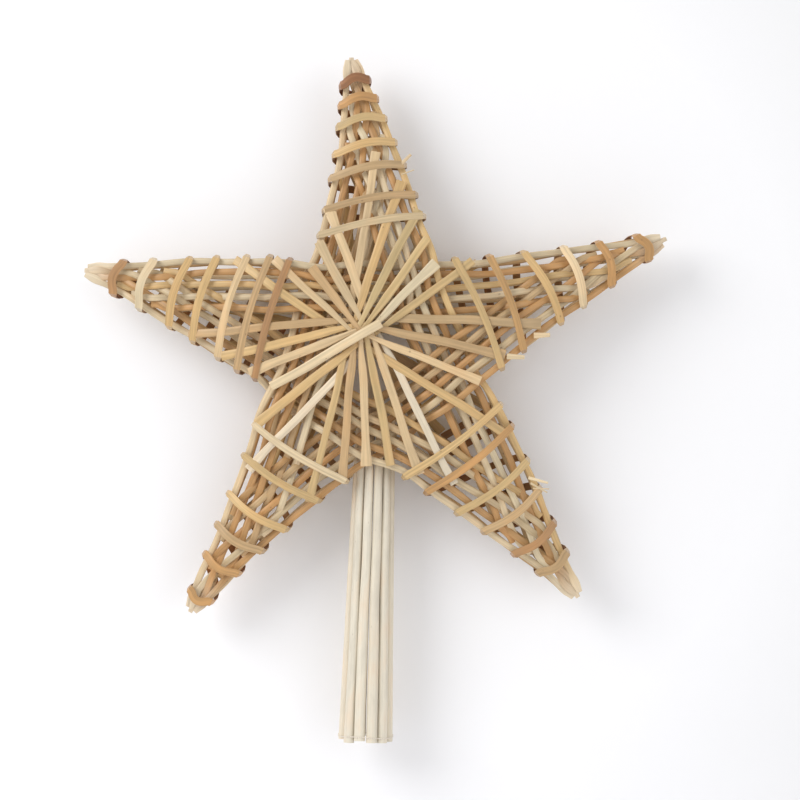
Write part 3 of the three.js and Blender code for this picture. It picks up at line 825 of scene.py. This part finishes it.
def loose_end(arm, along, edge, turn, length, width):
    """A short sliver from just inside an arm's edge: straight out, curling to the front as a square law."""
    share = np.linspace(0, 1, LOOSE.steps)
    place = np.array([float(along)])
    root = on_arm(arm, place, edge * (half_width(arm, place) - LOOSE.inset))
    run = unit(ARM_BEARING[arm] + ARM_TURN[arm] + turn)
    plan = root + (share * (length + LOOSE.inset))[:, None] * run
    depth = spoke_depth(root) + LOOSE.curl * length * share**2
    path = in_space(plan, FRONT * depth)
    side, up = frames_in_plane(path)
    width = width * (1 - LOOSE.taper * share)
    return skin(path, side, up, width, LOOSE.thick, tone("cream"), LOOSE.sides, LOOSE.squared)


def make_ribbons():
    """One ribbon round each arm, with the loose ends at that arm's edges."""
    for arm, name in enumerate(ARM_NAMES):
        skins = [ribbon_skin(arm)] + [loose_end(arm, *row) for row in LOOSE_ENDS.get(name, [])]
        make_piece(f"split_ribbon_{name}_arm", skins, SPLIT_STRAW, f"ribbon_{name}_arm")


# ---- Stem --------------------------------------------------------------------------------------------------


def stem_skin(index):
    """A whole straw of the stem: an oval tube that leans in towards the neck, hollow right through. Its
    foot is cut a little off level, by a sine of its number, and it turns golden towards the top."""
    outwards = unit(360 / STEM.straws * (index + 0.5))
    sideways = left_of(outwards)
    cut = STEM.ragged * (1 + math.sin(STEM.cut_pace * index + STEM.cut_start)) / 2
    foot = cut if index > 0 else 0
    mouth = np.linspace(foot, STEM.mouth_top, STEM.mouth_steps)
    height = np.concatenate([mouth, np.linspace(STEM.shaft_from, STEM.top, STEM.shaft_steps)])
    rise = height / STEM.top
    ring = lerp(STEM.mouth_ring, STEM.neck_ring, rise)
    drift = wander(height, *STEM_DRIFT.sideways)
    plan = ring[:, None] * outwards + drift[:, None] * sideways
    path = np.stack([plan[:, 0], plan[:, 1], height], axis=-1)
    side = np.tile([sideways[0], sideways[1], 0.0], (len(path), 1))
    up = np.tile([outwards[0], outwards[1], 0.0], (len(path), 1))
    uneven = 1 + wander(height, *STEM_DRIFT.width)
    width = 2 * lerp(STEM.mouth_across, STEM.neck_across, rise) * uneven
    thick = 2 * lerp(STEM.mouth_deep, STEM.neck_deep, rise)
    gold = ease(height, STEM.gold_from, STEM.gold_to)[:, None] * STEM.gold
    colour = lerp(tone("stem", STEM.tone_spread), linear(TONES["golden"]), gold)
    # The open ends' insides are tinted a dim brown as painted shade.
    return skin(
        path, side, up, width, thick, colour, STEM.sides, STEM.squared, STEM.wall, STEM.open_end,
        linear(TONES["stem_bore_shade"]),
    )


def make_stem():
    """The stem's straws, side by side in a ring. The first one is cut square at the very bottom."""
    for index in range(STEM.straws):
        node = f"stem_straw_{index + 1:02d}"
        make_piece(f"stem_tube_{index + 1:02d}", [stem_skin(index)], STEM_STRAW, node)


def thread_skin(height):
    """A thread tied round the stem's straws: a circle that dips a little between them and waves a little
    up and down, both as sines of the way round."""
    rise = height / STEM.top
    middle = lerp(STEM.mouth_ring, STEM.neck_ring, rise)
    inner = middle + lerp(STEM.mouth_deep, STEM.neck_deep, rise)
    turn = np.linspace(0, 360, THREAD.steps_a_straw * STEM.straws + 1)
    dip = THREAD.dip * (1 + np.cos(np.radians(turn * STEM.straws))) / 2
    plan = (inner + THREAD.gap / 2 - dip)[:, None] * unit(turn)
    wave = THREAD.wave * np.sin(np.radians(turn * THREAD.waves + THREAD.wave_start))
    path = np.stack([plan[:, 0], plan[:, 1], height + wave], axis=-1)
    up = np.concatenate([unit(turn), np.zeros((len(turn), 1))], axis=1)
    side = np.tile([0.0, 0.0, 1.0], (len(turn), 1))
    flat = THREAD.thick * THREAD.flat
    return skin(path, side, up, THREAD.thick, flat, linear(TONES["thread"]), THREAD.sides)


def make_threads():
    """The thread at the stem's mouth and the one at its neck."""
    for node, height in (("mouth_thread", THREAD.mouth_height), ("neck_thread", THREAD.neck_height)):
        make_piece(node + "_twist", [thread_skin(height)], COTTON, node)


# ---- Stage, light and camera -------------------------------------------------------------------------------

LOOK = Sizes(
    middle=(8.8, 127.3), view_width=297.8, distance=1100.0, roll=1.84, sensor=36.0, floor_drop=38.0,
    wall_gap=1.0, wall_reach=420.0, wall_fade=260.0, card="#f6f6f8", room_light=0.7,
)

# Soft round lights: place in metres, diameter in metres, power in watts.
LIGHTS = {
    "window": [(-0.62, -0.6, 0.5), 0.6, 4.4],
    "right_fill": [(1.1, -1.3, 0.35), 1.2, 4.0],
    "rear_fill": [(0.5, 1.4, 0.7), 0.9, 3.0],
}


def make_camera():
    """A long lens straight in front, rolled a little, so that the stem leans."""
    data = bpy.data.cameras.new("camera")
    data.sensor_width = LOOK.sensor
    data.lens = LOOK.sensor * LOOK.distance / LOOK.view_width
    camera = bpy.data.objects.new("camera", data)
    x, z = LOOK.middle
    camera.location = (x * MM, -LOOK.distance * MM, z * MM)
    camera.rotation_euler = (math.radians(90), math.radians(-LOOK.roll), 0)
    bpy.context.scene.collection.objects.link(camera)
    bpy.context.scene.camera = camera


def stage_material(name, centre):
    """Matt white card, shown from its front only, that fades out to the white of the room."""
    material, tree = new_material(name)
    place = add(tree, "TexCoord").outputs["Object"]
    off = add(tree, "VectorMath", {0: place, 1: centre}, operation="SUBTRACT").outputs["Vector"]
    away = add(tree, "VectorMath", {0: off}, operation="LENGTH").outputs["Value"]
    gone = LOOK.wall_reach * MM
    whole = (LOOK.wall_reach - LOOK.wall_fade) * MM
    fade = add(tree, "MapRange", {0: away, 1: whole, 2: gone, 3: 0.0, 4: 1.0}).outputs[0]
    behind = add(tree, "NewGeometry").outputs["Backfacing"]
    clear = add(tree, "Math", {0: fade, 1: behind}, operation="MAXIMUM").outputs[0]
    card = add(tree, "BsdfDiffuse", {"Color": (*linear(LOOK.card), 1)}).outputs[0]
    air = add(tree, "BsdfTransparent").outputs[0]
    both = add(tree, "MixShader", {0: clear, 1: card, 2: air}).outputs[0]
    add(tree, "OutputMaterial", {"Surface": both})
    return material


def make_card(name, corners, centre):
    """A flat four-cornered card of the stage, which fades out round its centre."""
    mesh = bpy.data.meshes.new(name)
    mesh.from_pydata(corners, [], [(0, 1, 2, 3)])
    mesh.materials.append(stage_material(name, centre))
    card = bpy.data.objects.new(name, mesh)
    bpy.context.scene.collection.objects.link(card)
    return card


def make_stage():
    """A white card close behind the star and a white floor under it. Neither stops light from behind."""
    reach = LOOK.wall_reach * MM
    x, z = STAR.x * MM, STAR.z * MM
    back = cad_box[1].y + LOOK.wall_gap * MM
    wall = [
        (x - reach, back, z - reach), (x + reach, back, z - reach),
        (x + reach, back, z + reach), (x - reach, back, z + reach),
    ]
    make_card("backing_card", wall, (x, back, z)).visible_shadow = False
    low = -LOOK.floor_drop * MM
    floor = [(-reach, -reach, low), (reach, -reach, low), (reach, reach, low), (-reach, reach, low)]
    make_card("floor_card", floor, (0, 0, low))


def make_light(name, place, size, power):
    """A round area light, turned so that it looks at the star's middle: its tilt from straight down is the
    angle whose tangent is the way across over the way down, and its turn is the bearing of that way."""
    data = bpy.data.lights.new(name, "AREA")
    data.shape = "DISK"
    data.size = size
    data.energy = power
    light = bpy.data.objects.new(name, data)
    light.location = place
    aim = np.array([STAR.x * MM, 0, STAR.z * MM]) - np.array(place)
    light.rotation_euler = (
        math.atan2(math.hypot(aim[0], aim[1]), -aim[2]),
        0,
        math.atan2(aim[1], aim[0]) - math.pi / 2,
    )
    bpy.context.scene.collection.objects.link(light)


def make_lights():
    """A soft source from the upper left, a wider one from the right, one behind, and a white room."""
    for name, (place, size, power) in LIGHTS.items():
        make_light(name, place, size, power)
    world = bpy.data.worlds.new("white_room")
    world.use_nodes = True
    background = world.node_tree.nodes["Background"]
    background.inputs["Color"].default_value = (1, 1, 1, 1)
    background.inputs["Strength"].default_value = LOOK.room_light
    bpy.context.scene.world = world
    bpy.context.scene.view_settings.view_transform = "Standard"


make_camera()
make_stage()
make_lights()
make_bands()
make_spokes()
make_ribbons()
make_stem()
make_threads()
